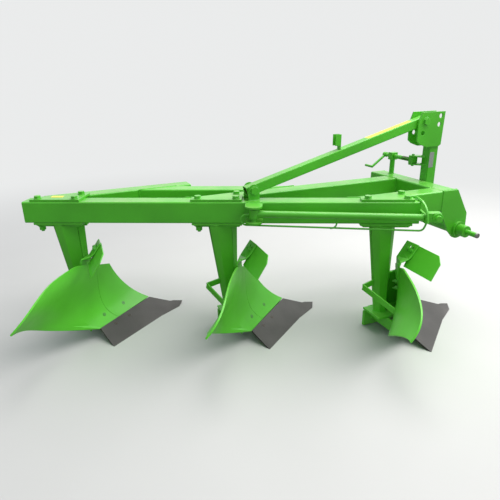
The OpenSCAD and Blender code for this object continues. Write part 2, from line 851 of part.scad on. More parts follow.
stay_w = 30;
stay_t = 8;
stay_pts = [[-590, -80, 290], [-679, -102, 283], [-622, -292, 222]];
module stay() {
    color(green) difference() {
        union() {
            flat_bar(stay_pts[0], stay_pts[1], stay_w, stay_t);
            flat_bar(stay_pts[1], stay_pts[2], stay_w, stay_t);
        }
        leg_solid(-seat, foot_z - seat, leg_top);
        board_space();
    }
}

// Trash board in front of the mouldboard's top corner, on a strap bent over the edge.
// The strap's folds follow the board's edge at the rear and run across at the front, so
// its left and right edges have lines of their own, in X and Z
strap_t = 8;
strap_y = [118, 200];
tab_share = [0.8, 1.08];
trash_t = 6;
trash_top = [-437, 505];
trash_tilt = 54;
// Point of the trash board's back, down its slope
function trash_back(t) = trash_top - t * [cos(trash_tilt), sin(trash_tilt)];
strap_left = [[-491, 383], [-492, 404], [-494, 427], trash_back(58), trash_back(2)];
strap_right = [[-545, 412], [-538, 432], [-492, 440], trash_back(58), trash_back(2)];
// Corners of the trash board: down its slope, and to the right of the landside
trash_pts = [[0, 165], [0, 193], [5, 335], [40, 369], [130, 377], [126, 185]];
module trash_bracket() {
    color(green) {
        difference() {
            for (k = [0 : len(strap_left) - 2]) hull() for (j = [k, k + 1]) {
                translate([strap_left[j].x, -strap_y[0], strap_left[j].y]) sphere(d = strap_t, $fn = 8);
                translate([strap_right[j].x, -strap_y[1], strap_right[j].y]) sphere(d = strap_t, $fn = 8);
            }
            board_space();
        }
        curved_plate([for (k = [0 : 3]) [strap_y[0] + (strap_y[1] - strap_y[0]) * k / 3, 0]],
            6, board_t + board_seat, board_t + board_seat + strap_t, tab_share);
    }
}

module trash_board() {
    color(green) translate([trash_top.x, 0, trash_top.y]) rotate([0, 180 - trash_tilt, 0])
        translate([0, 0, strap_t / 2 + seat])
            linear_extrude(trash_t) polygon([for (p = trash_pts) [p.x, -p.y]]);
}

main_beam();
stiff_beam();
left_rail();
inner_rail();
outer_rail();
cross_member();
shaft_plate_right();
shaft_plate_left();
leg_plates();
brace_lug();
lug_pin();
swing_ears();
side_tube();
side_block();
screw_post();
parking_rod();
cross_shaft();
mast_post();
mast_head();
mast_pin();
screw_clevis();
crank_screw();
brace();
brace_clip();
latch_bar();
for (i = [0 : 2]) {
    at_body(i) share();
    at_body(i) shin();
    at_body(i) mouldboard();
    at_body(i) landside();
    at_body(i) frog();
    at_body(i) leg(i);
    at_body(i) stay();
    at_body(i) trash_bracket();
    at_body(i) trash_board();
}
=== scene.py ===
# Three furrow mounted mouldboard plough in bright green paint, with bare grey shares.
# X is the way it is pulled, Y is to its left and Z is up, in metres.
from math import radians, sin, cos, sqrt
import bpy
import bmesh
from mathutils import Matrix, Vector
from mathutils.bvhtree import BVHTree


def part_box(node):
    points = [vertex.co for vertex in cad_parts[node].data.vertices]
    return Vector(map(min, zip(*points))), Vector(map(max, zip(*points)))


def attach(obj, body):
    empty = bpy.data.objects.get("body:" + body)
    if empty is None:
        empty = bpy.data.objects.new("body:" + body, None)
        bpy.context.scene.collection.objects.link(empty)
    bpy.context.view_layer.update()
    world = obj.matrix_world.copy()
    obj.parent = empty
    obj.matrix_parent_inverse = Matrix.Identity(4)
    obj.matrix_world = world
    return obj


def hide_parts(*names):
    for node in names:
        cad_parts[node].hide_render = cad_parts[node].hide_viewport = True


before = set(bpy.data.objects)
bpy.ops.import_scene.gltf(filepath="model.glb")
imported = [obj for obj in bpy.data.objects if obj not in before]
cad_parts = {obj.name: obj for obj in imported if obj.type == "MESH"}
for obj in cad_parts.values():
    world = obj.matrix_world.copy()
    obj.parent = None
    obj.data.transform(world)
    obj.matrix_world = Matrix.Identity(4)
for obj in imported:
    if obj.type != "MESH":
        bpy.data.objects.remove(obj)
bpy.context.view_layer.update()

# Studio
# A pale floor under one wide soft lamp, and a pale sky all round. The camera stands to the
# right of the plough and behind its middle, about 1.3 m up.
class Shading:
    """The nodes of a material or of the sky, and short ways to add more."""

    def __init__(self, tree):
        self.nodes = tree.nodes
        self.links = tree.links

    def wire(self, node, values):
        """Sets a node's inputs to values, or joins them to the outputs of other nodes."""
        for socket, value in values.items():
            entry = node.inputs[socket]
            if isinstance(value, bpy.types.NodeSocket):
                self.links.new(value, entry)
            elif entry.type == "RGBA":
                entry.default_value = (*value, 1)
            else:
                entry.default_value = value
        return node

    def noise(self, place, scale, detail=2.0, rough=0.5):
        """A cloudy pattern."""
        node = self.nodes.new("ShaderNodeTexNoise")
        self.wire(node, {"Vector": place, "Scale": scale, "Detail": detail, "Roughness": rough})
        return node.outputs["Fac"]

    def between(self, value, low, high, to_low, to_high, smooth=False):
        """Turns the range from low to high into another range."""
        node = self.nodes.new("ShaderNodeMapRange")
        if smooth:
            node.interpolation_type = "SMOOTHSTEP"
        self.wire(node, {"Value": value, "From Min": low, "From Max": high,
                         "To Min": to_low, "To Max": to_high})
        return node.outputs["Result"]

    def maths(self, operation, *values):
        node = self.nodes.new("ShaderNodeMath")
        node.operation = operation
        return self.wire(node, dict(enumerate(values))).outputs["Value"]

    def vector_maths(self, operation, *values):
        node = self.nodes.new("ShaderNodeVectorMath")
        node.operation = operation
        return self.wire(node, dict(enumerate(values))).outputs["Value"]

    def mixed(self, factor, first, second):
        """A colour between two others."""
        node = self.nodes.new("ShaderNodeMix")
        node.data_type = "RGBA"
        return self.wire(node, {"Factor": factor, "A": first, "B": second}).outputs["Result"]

    def one_of(self, factor, first, second):
        """One shader or another."""
        node = self.nodes.new("ShaderNodeMixShader")
        return self.wire(node, {"Fac": factor, 1: first, 2: second}).outputs["Shader"]

    def stretched(self, place, scale, turn=0.0):
        """The same place, turned about Z and scaled along each axis."""
        node = self.nodes.new("ShaderNodeMapping")
        self.wire(node, {"Vector": place, "Scale": scale, "Rotation": (0, 0, turn)})
        return node.outputs["Vector"]

    def flatness(self, radius):
        """How level the surface is within a radius: 1 on a flat face and less at an edge."""
        edge = self.nodes.new("ShaderNodeBevel")
        edge.samples = 4
        self.wire(edge, {"Radius": radius})
        face = self.nodes.new("ShaderNodeNewGeometry")
        return self.vector_maths("DOT_PRODUCT", edge.outputs["Normal"], face.outputs["Normal"])

    def bump(self, height, strength, distance, under=None):
        """Fine relief, on top of other relief where that is given."""
        node = self.nodes.new("ShaderNodeBump")
        self.wire(node, {"Height": height, "Strength": strength, "Distance": distance})
        if under is not None:
            self.wire(node, {"Normal": under})
        return node.outputs["Normal"]


def new_finish(name):
    """A new material, its nodes, and the place on the piece that its patterns follow."""
    finish = bpy.data.materials.new(name)
    finish.use_nodes = True
    net = Shading(finish.node_tree)
    return finish, net, net.nodes.new("ShaderNodeTexCoord").outputs["Object"]


scene = bpy.context.scene
scene.view_settings.view_transform = "Standard"

camera_data = bpy.data.cameras.new("camera")
camera_data.sensor_width = 36
camera_data.lens = 32.53
camera = bpy.data.objects.new("camera", camera_data)
scene.collection.objects.link(camera)
camera.location = (-0.84305, -1.91342, 1.2705)
heading, tilt, roll = radians(-21.7), radians(69.756), radians(-0.802)
camera.rotation_euler = (Matrix.Rotation(heading, 4, "Z") @ Matrix.Rotation(tilt, 4, "X")
                         @ Matrix.Rotation(roll, 4, "Z")).to_euler()
scene.camera = camera

world = bpy.data.worlds.new("pale_sky")
scene.world = world
world.use_nodes = True
sky = Shading(world.node_tree)
sky_ray = sky.nodes.new("ShaderNodeLightPath").outputs
lit = sky.wire(sky.nodes["Background"], {"Color": (0.86, 0.93, 1.0), "Strength": 0.5})
seen = sky.wire(sky.nodes.new("ShaderNodeBackground"),
                {"Color": (0.87, 0.88, 0.88), "Strength": 0.95})
sees_sky = sky.maths("MAXIMUM", sky_ray["Is Glossy Ray"], sky_ray["Is Camera Ray"])
sky.wire(sky.nodes["World Output"], {"Surface": sky.one_of(
    sees_sky, lit.outputs["Background"], seen.outputs["Background"])})

lamp_data = bpy.data.lights.new("ceiling_lamp", "AREA")
lamp_data.shape = "RECTANGLE"
lamp_data.size = 7.0
lamp_data.size_y = 6.0
lamp_data.energy = 520
lamp_data.color = (1.0, 0.985, 0.96)
lamp = bpy.data.objects.new("ceiling_lamp", lamp_data)
scene.collection.objects.link(lamp)
lamp.location = (2.9, -0.2, 4.5)
lamp.rotation_euler = (0, radians(24), 0)

# The floor fades into the sky with distance. It sends the plough a darker light than the
# camera sees.
bpy.ops.object.select_all(action="DESELECT")
bpy.ops.mesh.primitive_plane_add(size=240, location=(0, 0, 0))
floor = bpy.context.object
floor.name = "pale_floor"
floor_paint, net, place = new_finish("pale_floor")
floor_ray = net.nodes.new("ShaderNodeLightPath").outputs
fade_start, fade_end = 1.4, 5.5
far = net.between(net.vector_maths("LENGTH", place), fade_start, fade_end, 0, 1, smooth=True)
glow_share = net.maths("MULTIPLY_ADD", far, floor_ray["Is Camera Ray"],
                       floor_ray["Is Glossy Ray"])
glow = net.wire(net.nodes.new("ShaderNodeEmission"), {"Color": net.mixed(
    floor_ray["Is Glossy Ray"], (0.826, 0.836, 0.836), (0.27, 0.26, 0.25))})
cloudy = net.mixed(net.noise(place, 1.4, 6), (0.55, 0.545, 0.535), (0.6, 0.595, 0.585))
ground = net.wire(net.nodes["Principled BSDF"], {"Roughness": 0.8, "Base Color": net.mixed(
    floor_ray["Is Camera Ray"], (0.36, 0.35, 0.34), cloudy)})
net.wire(net.nodes["Material Output"], {"Surface": net.one_of(
    glow_share, ground.outputs["BSDF"], glow.outputs["Emission"])})
floor.data.materials.append(floor_paint)


# Main beam
# The long tube that carries the three plough bodies, cold formed with rounded corners,
# closed at its ends and sprayed with glossy green paint over the welded frame.
def green_paint(name, tone, gloss=(0.32, 0.44), coat=0.6, edge_wear_and_highlight=0.3, upward_paleness=0.24):
    """Sprayed enamel: cloudy tone, orange peel, edges pale with wear and painted highlight, and
    paler upward faces.
    """
    paint, net, place = new_finish(name)

    def shade(share, grey=0.0):
        return tuple(share * c + grey for c in tone)

    colour = net.mixed(net.between(net.noise(place, 2.4, 4), 0.36, 0.64, 0, 1),
                       shade(0.86), shade(1.12))
    speck = net.between(net.noise(place, 120, 2, 0.7), 0.62, 0.74, 0, 0.22)
    colour = net.mixed(speck, colour, shade(0.55))
    # Pale edges: partly worn paint, partly a painted highlight standing in for the light that
    # edges catch.
    worn_and_lit_edges = net.maths("MULTIPLY", net.between(net.flatness(radius=0.0022), 0.97, 0.85, 0, edge_wear_and_highlight),
                    net.between(net.noise(place, 26, 4, 0.65), 0.42, 0.62, 0.15, 1))
    colour = net.mixed(worn_and_lit_edges, colour, shade(0.45, grey=0.26))

    # Paler and yellower in patches on upward faces, most where a face is nearly level.
    face = net.nodes.new("ShaderNodeNewGeometry")
    facing = net.wire(net.nodes.new("ShaderNodeSeparateXYZ"), {0: face.outputs["Normal"]})
    paler_upward = net.maths("MULTIPLY", net.between(facing.outputs["Z"], 0.75, 1.0, 0, upward_paleness),
                        net.between(net.noise(place, 7, 5, 0.7), 0.4, 0.7, 0.2, 1))
    peel = net.bump(net.noise(place, 240), strength=0.05, distance=0.0006)
    net.wire(net.nodes["Principled BSDF"], {
        "IOR": 1.38, "Coat Weight": coat, "Coat IOR": 1.38, "Coat Roughness": 0.24,
        "Base Color": net.mixed(paler_upward, colour, (0.62, 0.62, 0.34)),
        "Roughness": net.between(net.noise(place, 11, 4, 0.6), 0.3, 0.7, *gloss),
        "Normal": net.bump(net.noise(place, 12), strength=0.12, distance=0.002, under=peel)})
    return paint


def pick(piece):
    """Selects one piece alone and makes it the active one."""
    bpy.ops.object.select_all(action="DESELECT")
    piece.select_set(True)
    bpy.context.view_layer.objects.active = piece


def edit_alone(piece):
    """Opens one piece for editing, by its edges."""
    pick(piece)
    bpy.ops.object.mode_set(mode="EDIT")
    bpy.ops.mesh.select_mode(type="EDGE")


same_point = 0.00002
same_plane = radians(0.6)
same_way = 0.9995
tube_turn = radians(60)


def forged_copy(node, name, flat=True):
    """A merged copy of a steel part, with whole flat faces unless it is pressed to a curve."""
    piece = bpy.data.objects.new(name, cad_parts[node].data.copy())
    scene.collection.objects.link(piece)
    piece.data.materials.clear()
    edit_alone(piece)
    bpy.ops.mesh.select_all(action="SELECT")
    bpy.ops.mesh.remove_doubles(threshold=same_point)
    if flat:
        bpy.ops.mesh.dissolve_limited(angle_limit=same_plane)
    bpy.ops.object.mode_set(mode="OBJECT")
    bpy.ops.mesh.customdata_custom_splitnormals_clear()
    return piece


def round_tube(piece, along, radius, shortest):
    """Rolls the long outer corners of a box tube that runs along a direction."""
    edit_alone(piece)
    bpy.ops.mesh.select_all(action="DESELECT")
    steel = bmesh.from_edit_mesh(piece.data)
    for edge in steel.edges:
        run = edge.verts[1].co - edge.verts[0].co
        if run.length < shortest or abs(run.normalized().dot(along)) < same_way:
            continue
        if len(edge.link_faces) == 2 and edge.is_convex:
            edge.select = edge.calc_face_angle(0) > tube_turn
    bmesh.update_edit_mesh(piece.data)
    if any(edge.select for edge in steel.edges):
        bpy.ops.mesh.bevel(offset=radius, offset_type="OFFSET", segments=4, affect="EDGES")
    bpy.ops.object.mode_set(mode="OBJECT")


def break_edges(piece, width, angle=32, segments=2):
    """Takes the sharpness off every edge, then shades the piece smooth across shallow turns."""
    pick(piece)
    bevel = piece.modifiers.new("edges", "BEVEL")
    bevel.width = width
    bevel.segments = segments
    bevel.limit_method = "ANGLE"
    bevel.angle_limit = radians(angle)
    bevel.use_clamp_overlap = False
    bevel.miter_outer = "MITER_ARC"
    bpy.ops.object.modifier_apply(modifier="edges")
    bpy.ops.object.shade_smooth_by_angle(angle=radians(angle))
    even = piece.modifiers.new("even", "WEIGHTED_NORMAL")
    even.keep_sharp = True
    bpy.ops.object.modifier_apply(modifier="even")


def fit_piece(piece, finish, body, slot, *nodes):
    """Paints a piece, makes it ride on its body and stand for the steel parts it covers."""
    piece.data.materials.clear()
    piece.data.materials.append(finish)
    for polygon in piece.data.polygons:
        polygon.material_index = 0
    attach(piece, body)
    if nodes:
        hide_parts(*nodes)
    return piece


def steel_part(node, kind, finish, body, slot, width, angle=32, flat=True, along=None,
               corner=0.008, shortest=0.3):
    """A steel part with broken edges and its paint, and rolled corners where it is a tube."""
    piece = forged_copy(node, node + "_" + kind, flat)
    if along is not None:
        round_tube(piece, along, corner, shortest)
    break_edges(piece, width, angle)
    return fit_piece(piece, finish, body, slot, node)


grass_green = (0.085, 0.52, 0.022)
frame_green = green_paint("frame_paint", grass_green)

furrow_step = Vector((0.730, -0.340, 0))
beam_along = furrow_step.normalized()
beam_left = Vector((-beam_along.y, beam_along.x, 0))
leg_foot = Vector((-0.88214, 0.536577, 0))
frame_low, frame_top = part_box("main_beam")[0].z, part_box("main_beam")[1].z
to_front, to_rear = Vector((1, 0, 0)), Vector((-1, 0, 0))
to_left, to_right = Vector((0, 1, 0)), Vector((0, -1, 0))
upward, downward = Vector((0, 0, 1)), Vector((0, 0, -1))


def at_beam(along, left, z):
    """Point beside the main beam: how far ahead of the rear leg, to the left, and its height."""
    return leg_foot + beam_along * along + beam_left * left + Vector((0, 0, z))


beam = steel_part("main_beam", "tube", frame_green, "frame", "frame_paint", width=0.0012,
                  along=beam_along)

# Rails and stiffening beam
# Tubes cut to the slant of the main beam and welded to it and to each other, which make
# one stiff open frame.
for node, slant in (("left_rail", 3.0), ("inner_rail", 1.5), ("outer_rail", 0.0)):
    rail_along = Vector((cos(radians(slant)), sin(radians(slant)), 0))
    steel_part(node, "tube", frame_green, "frame", "frame_paint", width=0.0012,
               along=rail_along, shortest=0.15)
steel_part("stiff_beam", "tube", frame_green, "frame", "frame_paint", width=0.0012,
           along=beam_along)

# Cross member and shaft plates
# The tube across the front, and the two flame cut plates that hang from it and carry the
# cross shaft in short bearing rings.
steel_part("cross_member", "tube", frame_green, "frame", "frame_paint", width=0.0012,
           along=to_left)
for node in ("shaft_plate_right", "shaft_plate_left"):
    steel_part(node, "cut", frame_green, "frame", "frame_paint", width=0.0013)

# Leg plates, lugs and ears
# Flame cut plates laid on the beam over each leg, the two lugs of the brace's foot, the
# round ears of the side tube's pin, and the post with the crank screw's nut block.
for node, width in (("leg_plates", 0.0014), ("brace_lug", 0.0016), ("swing_ears", 0.0016),
                    ("screw_post", 0.0012)):
    steel_part(node, "cut", frame_green, "frame", "frame_paint", width)

# Side tube and its block
# A round tube that swings on an upright pin beside the beam, held in front by a block on the
# beam's end. The tube's rear end is pressed flat where it is welded.
for node, width in (("side_tube", 0.0018), ("side_block", 0.0022)):
    steel_part(node, "bar", frame_green, "frame", "frame_paint", width, angle=30)

# Frame welds
# Rippled beads laid by hand where the tubes, plates, lugs and ears meet, painted over with
# the rest of the frame.
def flat_steel(node):
    """A steel part as a bare mesh with whole flat faces, for finding its seams."""
    steel = bmesh.new()
    steel.from_mesh(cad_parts[node].data)
    bmesh.ops.remove_doubles(steel, verts=steel.verts[:], dist=same_point)
    bmesh.ops.dissolve_limit(steel, angle_limit=same_plane, verts=steel.verts[:],
                             edges=steel.edges[:])
    steel.normal_update()
    return steel


seam_reach = 0.0008
seam_parts = (0.03, 0.3, 0.5, 0.7, 0.97)


def seams_on(node, *others):
    """Edges of a part that lie on the skin of the parts it is welded to."""
    skins = [BVHTree.FromBMesh(flat_steel(other)) for other in others if other != node]
    found = []
    steel = flat_steel(node)
    for edge in steel.edges:
        start, end = (vert.co.copy() for vert in edge.verts)
        spots = [start.lerp(end, part) for part in seam_parts]
        if any(all(skin.find_nearest(spot, seam_reach)[0] for spot in spots) for skin in skins):
            found.append((start, end))
    steel.free()
    return found


def inner_corners(node, shortest=0.015):
    """Hollow corners between the plates of one welded part."""
    found = []
    corner_turn = radians(40)
    steel = flat_steel(node)
    for edge in steel.edges:
        if len(edge.link_faces) == 2 and not edge.is_convex and edge.calc_length() > shortest:
            if edge.calc_face_angle(0) > corner_turn:
                found.append(tuple(vert.co.copy() for vert in edge.verts))
    steel.free()
    return found


def joined_runs(seams):
    """Joins seam edges that share an end into runs of points."""
    left = sorted({tuple(sorted(tuple(round(c, 4) for c in end) for end in seam))
                   for seam in seams})
    runs = []
    while left:
        run = list(left.pop())
        grown = True
        while grown:
            grown = False
            for pair in left:
                for near, far in (pair, pair[::-1]):
                    if near == run[-1]:
                        run.append(far)
                    elif near == run[0]:
                        run.insert(0, far)
                    else:
                        continue
                    left.remove(pair)
                    grown = True
                    break
                if grown:
                    break
        runs.append([Vector(point) for point in run])
    return runs


def ribbed_bar(name, runs, radius, pitch, depth):
    """Round bars along runs of points, with uneven rings a pitch apart, as one piece."""
    sway, sway_step = 0.5 * depth, 0.9
    line = bpy.data.curves.new(name, "CURVE")
    line.dimensions = "3D"
    line.bevel_depth = radius
    line.bevel_resolution = 1
    line.use_fill_caps = True
    for run in runs:
        points = []
        for start, end in zip(run, run[1:]):
            steps = max(1, round((end - start).length / pitch))
            points += [start.lerp(end, k / steps) for k in range(steps)]
        points.append(run[-1])
        spline = line.splines.new("POLY")
        spline.points.add(len(points) - 1)
        for k, point in enumerate(points):
            spline.points[k].co = (*point, 1)
            spline.points[k].radius = 1 + depth * (-1) ** k + sway * sin(sway_step * k)
    bar = bpy.data.objects.new(name, line)
    scene.collection.objects.link(bar)
    pick(bar)
    bpy.ops.object.convert(target="MESH")
    bar = bpy.context.object
    edit_alone(bar)
    bpy.ops.mesh.select_all(action="SELECT")
    bpy.ops.mesh.normals_make_consistent(inside=False)
    bpy.ops.object.mode_set(mode="OBJECT")
    bpy.ops.object.shade_smooth_by_angle(angle=radians(50))
    return bar


def weld_beads(name, seams, radius, pitch=0.0034):
    """Rippled beads along seams, as one piece."""
    return ribbed_bar(name, joined_runs(seams), radius, pitch, depth=0.12)


tubes = ("main_beam", "stiff_beam", "left_rail", "inner_rail", "outer_rail", "cross_member")
shaft_group = ("shaft_plate_right", "shaft_plate_left", "cross_member", "outer_rail")
frame_seams = inner_corners("swing_ears") + inner_corners("cross_member")
for node in tubes[1:]:
    frame_seams += seams_on(node, *tubes)
for node in shaft_group:
    frame_seams += seams_on(node, *shaft_group)
for node in ("brace_lug", "swing_ears", "screw_post", "side_block"):
    frame_seams += seams_on(node, *tubes)
fit_piece(weld_beads("frame_welds", frame_seams, radius=0.0036), frame_green, "frame",
          "frame_paint")

# Leg bolts
# Three to a leg: hexagon bolts on washers through the top plate, the beam and the leg's
# flange. The right front one of each leg is screwed into the pad, and so is the rear one of
# the front leg. The others have nuts below.
washer_t = 0.0028


def hex_bolt(name, across, height, washer, tip=0.0):
    """A chamfered hexagon on a washer, its seat at the origin and its axis up."""
    crown_rim, corner_reach, corner_drop = 0.06 * across, 0.56 * across, 0.12 * height
    near_top = washer_t + height - 0.0001
    bpy.ops.object.select_all(action="DESELECT")
    bpy.ops.mesh.primitive_cylinder_add(vertices=28, radius=washer, depth=washer_t,
                                        location=(0, 0, washer_t / 2))
    bolt = bpy.context.object
    bpy.ops.object.mode_set(mode="EDIT")
    bpy.ops.mesh.select_all(action="DESELECT")
    bpy.ops.mesh.primitive_cylinder_add(vertices=6, radius=across / sqrt(3), depth=height,
                                        location=(0, 0, washer_t + height / 2))
    steel = bmesh.from_edit_mesh(bolt.data)
    crown = [face for face in steel.faces if face.select and face.normal.z > 0.9]
    bmesh.ops.inset_region(steel, faces=crown, thickness=crown_rim, depth=0)
    for vert in steel.verts:
        if vert.co.z > near_top and vert.co.xy.length > corner_reach:
            vert.co.z -= corner_drop
    bmesh.update_edit_mesh(bolt.data)
    if tip:
        bpy.ops.mesh.select_all(action="DESELECT")
        bpy.ops.mesh.primitive_cylinder_add(vertices=18, radius=0.28 * across, depth=tip,
                                            location=(0, 0, washer_t + height + tip / 2))
    bpy.ops.object.mode_set(mode="OBJECT")
    bolt.data.transform(bolt.matrix_world)
    bolt.matrix_world = Matrix.Identity(4)
    bolt.name = name
    break_edges(bolt, 0.0006, angle=30, segments=1)
    return bolt


def copy_at(model, name, at, axis, turn=0.0):
    """A copy of a small part with its own mesh, stood at a point along an axis."""
    twin = bpy.data.objects.new(name, model.data.copy())
    scene.collection.objects.link(twin)
    stand = Vector(axis).to_track_quat("Z", "Y").to_matrix().to_4x4()
    twin.data.transform(Matrix.Translation(at) @ stand @ Matrix.Rotation(turn, 4, "Z"))
    return twin


# The bolts' paint has much paler edges: some wear, mostly a painted highlight that makes the
# bolts stand out.
bolt_green = green_paint("bolt_paint", grass_green, edge_wear_and_highlight=0.9)
leg_gap = furrow_step.length
plate_shift = (0.0, 0.013, 0.046)
bolt_spots = ((-0.131, -0.022), (0.060, -0.024), (0.055, 0.078))
screwed_in = ((0, 1), (1, 1), (2, 1), (2, 0))
leg_turn, spot_turn = 0.4, 1.1
plate_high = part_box("leg_plates")[1].z
flange_t = 0.012
flange_low = frame_low - flange_t
pad_t = 0.0105
head_model = hex_bolt("leg_bolt_model", across=0.030, height=0.0125, washer=0.0185)
nut_model = hex_bolt("leg_nut_model", across=0.030, height=0.016, washer=0.0185, tip=0.008)
for leg in range(3):
    for spot, (along, left) in enumerate(bolt_spots):
        ahead = leg * leg_gap + plate_shift[leg] + along
        label = "leg_%d_%d" % (leg + 1, spot + 1)
        turn = leg_turn * leg + spot_turn * spot
        head = copy_at(head_model, label + "_bolt", at_beam(ahead, left, plate_high),
                       upward, turn)
        fit_piece(head, bolt_green, "frame", "frame_paint")
        if (leg, spot) in screwed_in:
            continue
        nut = copy_at(nut_model, label + "_nut", at_beam(ahead, left, flange_low - pad_t),
                      downward, turn)
        fit_piece(nut, bolt_green, "frame", "frame_paint")
bpy.data.objects.remove(head_model)
bpy.data.objects.remove(nut_model)

# Leg pads
# A second plate under each leg's flange, cut a little smaller with slanted sides, which the
# leg's top is welded into.
pad_outline = ((-0.160, -0.040), (0.085, -0.040), (0.085, 0.100), (0.024, 0.100),
               (-0.160, 0.008))
pad_sunk = 0.0004
pad_taper = 0.9
for leg in range(3):
    bpy.ops.object.select_all(action="DESELECT")
    bpy.ops.mesh.primitive_circle_add(vertices=len(pad_outline), radius=0.1, fill_type="NGON")
    pad = bpy.context.object
    pad.name = "leg_pad_%d" % (leg + 1)
    corners = [at_beam(leg * leg_gap + plate_shift[leg] + along, left, flange_low + pad_sunk)
               for along, left in pad_outline]
    for vert, corner in zip(pad.data.vertices, corners):
        vert.co = corner
    heart = sum(corners, Vector()) / len(corners)
    edit_alone(pad)
    bpy.ops.mesh.select_all(action="SELECT")
    bpy.ops.mesh.extrude_region_move(
        TRANSFORM_OT_translate={"value": (0, 0, -pad_t - pad_sunk)})
    steel = bmesh.from_edit_mesh(pad.data)
    for vert in steel.verts:
        if vert.select:
            vert.co.xy = heart.xy + (vert.co.xy - heart.xy) * pad_taper
    bmesh.update_edit_mesh(pad.data)
    bpy.ops.mesh.select_all(action="SELECT")
    bpy.ops.mesh.normals_make_consistent(inside=False)
    bpy.ops.object.mode_set(mode="OBJECT")
    break_edges(pad, 0.0012)
    fit_piece(pad, frame_green, "frame", "frame_paint")

# Latch bar, thin rod and its hook
# A round bar bent from the beam's top down in front of the side tube, and a thin rod under
# the tube, looped at the rear and held up halfway by a small hook.
def bent_line(points, radius):
    """A run of points with its corners bent to a radius or less."""
    line = [points[0]]
    room, steps = 0.48, 6
    for before, corner, after in zip(points, points[1:], points[2:]):
        back, ahead = before - corner, after - corner
        reach = min(radius, room * back.length, room * ahead.length)
        start, end = corner + back.normalized() * reach, corner + ahead.normalized() * reach
        for k in range(steps + 1):
            t = k / steps
            line.append(start * (1 - t) ** 2 + corner * 2 * t * (1 - t) + end * t ** 2)
    return line + [points[-1]]


beam_front = max((v.co - leg_foot).dot(beam_along) for v in beam.data.vertices
                 if abs((v.co - leg_foot).dot(beam_left)) < 0.06)
latch_high = frame_top + 0.0072
tube_pin = 0.970
tube_left = -0.106
tube_middle = frame_low + 0.067
latch_corners = [at_beam(beam_front + along, left, latch_high + up) for along, left, up in (
    (-0.020, 0.034, 0), (-0.004, 0.006, 0.003), (0.003, -0.070, -0.003),
    (0.007, -0.130, -0.032), (0.008, -0.146, -0.086))]
rod_corners = [at_beam(tube_pin + along, tube_left, tube_middle + up) for along, up in (
    (-0.022, -0.003), (-0.052, -0.006), (-0.067, -0.031), (-0.050, -0.056),
    (0.808, -0.083), (0.822, -0.042))]
hook_corners = [at_beam(along, tube_left, z) for along, z in (
    (1.366, 0.662), (1.369, 0.626), (1.356, 0.611), (1.338, 0.609))]
for name, corners, bend, radius, nodes in (
        ("latch_bar_bent", latch_corners, 0.06, 0.0065, ["latch_bar"]),
        ("thin_rod_bent", rod_corners, 0.02, 0.0046, ["parking_rod"]),
        ("rod_hook", hook_corners, 0.012, 0.0042, [])):
    bar = ribbed_bar(name, [bent_line(corners, bend)], radius, pitch=0.05, depth=0)
    fit_piece(bar, frame_green, "frame", "frame_paint", *nodes)

# Brace
# The tube from the head of the mast back to the lugs on the beam, with an upright clip for
# hoses welded on it.
mast_pin_at = sum(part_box("mast_pin"), Vector()) / 2
lug_pin_at = sum(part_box("lug_pin"), Vector()) / 2
brace_along = (mast_pin_at - lug_pin_at).normalized()
brace_up = Vector((-brace_along.z, 0, brace_along.x))
steel_part("brace", "tube", frame_green, "brace", "frame_paint", width=0.0012,
           along=brace_along, corner=0.006)
steel_part("brace_clip", "channel", frame_green, "brace", "frame_paint", width=0.001)
fit_piece(weld_beads("brace_welds", seams_on("brace_clip", "brace"), radius=0.003,
                     pitch=0.0032), frame_green, "brace", "frame_paint")

# Yellow strips
# Plain yellow foil stuck on the brace near the mast, and a short piece on the rear leg plate.
def yellow_foil(name):
    """Plain foil: a slightly uneven yellow under a satin film."""
    foil, net, place = new_finish(name)
    cloud = net.noise(place, 30, 4)
    net.wire(net.nodes["Principled BSDF"], {
        "Base Color": net.mixed(cloud, (0.86, 0.76, 0.06), (0.93, 0.85, 0.12)),
        "Roughness": net.between(cloud, 0, 1, 0.28, 0.5),
        "Normal": net.bump(cloud, strength=0.1, distance=0.0005)})
    return foil


def flat_strip(name, at, along, up, length, width, thick):
    """A thin strip with round corners, lying on a flat face."""
    bpy.ops.object.select_all(action="DESELECT")
    bpy.ops.mesh.primitive_plane_add(size=1)
    strip = bpy.context.object
    strip.name = name
    strip.data.transform(Matrix.Diagonal((length, width, 1, 1)))
    edit_alone(strip)
    bpy.ops.mesh.select_mode(type="VERT")
    bpy.ops.mesh.select_all(action="SELECT")
    bpy.ops.mesh.bevel(offset=0.004, segments=4, affect="VERTICES")
    bpy.ops.object.mode_set(mode="OBJECT")
    body = strip.modifiers.new("body", "SOLIDIFY")
    body.thickness = thick
    body.offset = 1
    bpy.ops.object.modifier_apply(modifier="body")
    stand = Matrix((along, up.cross(along), up)).transposed().to_4x4()
    strip.data.transform(Matrix.Translation(at) @ stand)
    return strip


strip_yellow = yellow_foil("yellow_foil")
strip_along = 0.843
brace_half = 0.0251
foil_t = 0.0005
foil_lift = 0.0001
long_strip_at = (lug_pin_at + brace_along * strip_along + brace_up * brace_half
                 + to_right * 0.001)
long_strip = flat_strip("brace_strip", long_strip_at, brace_along, brace_up, length=0.285,
                        width=0.038, thick=foil_t)
fit_piece(long_strip, strip_yellow, "brace", "frame_paint")
short_strip = flat_strip("plate_strip", at_beam(-0.046, 0.018, plate_high + foil_lift),
                         beam_along, upward, length=0.062, width=0.034, thick=foil_t)
fit_piece(short_strip, strip_yellow, "frame", "frame_paint")

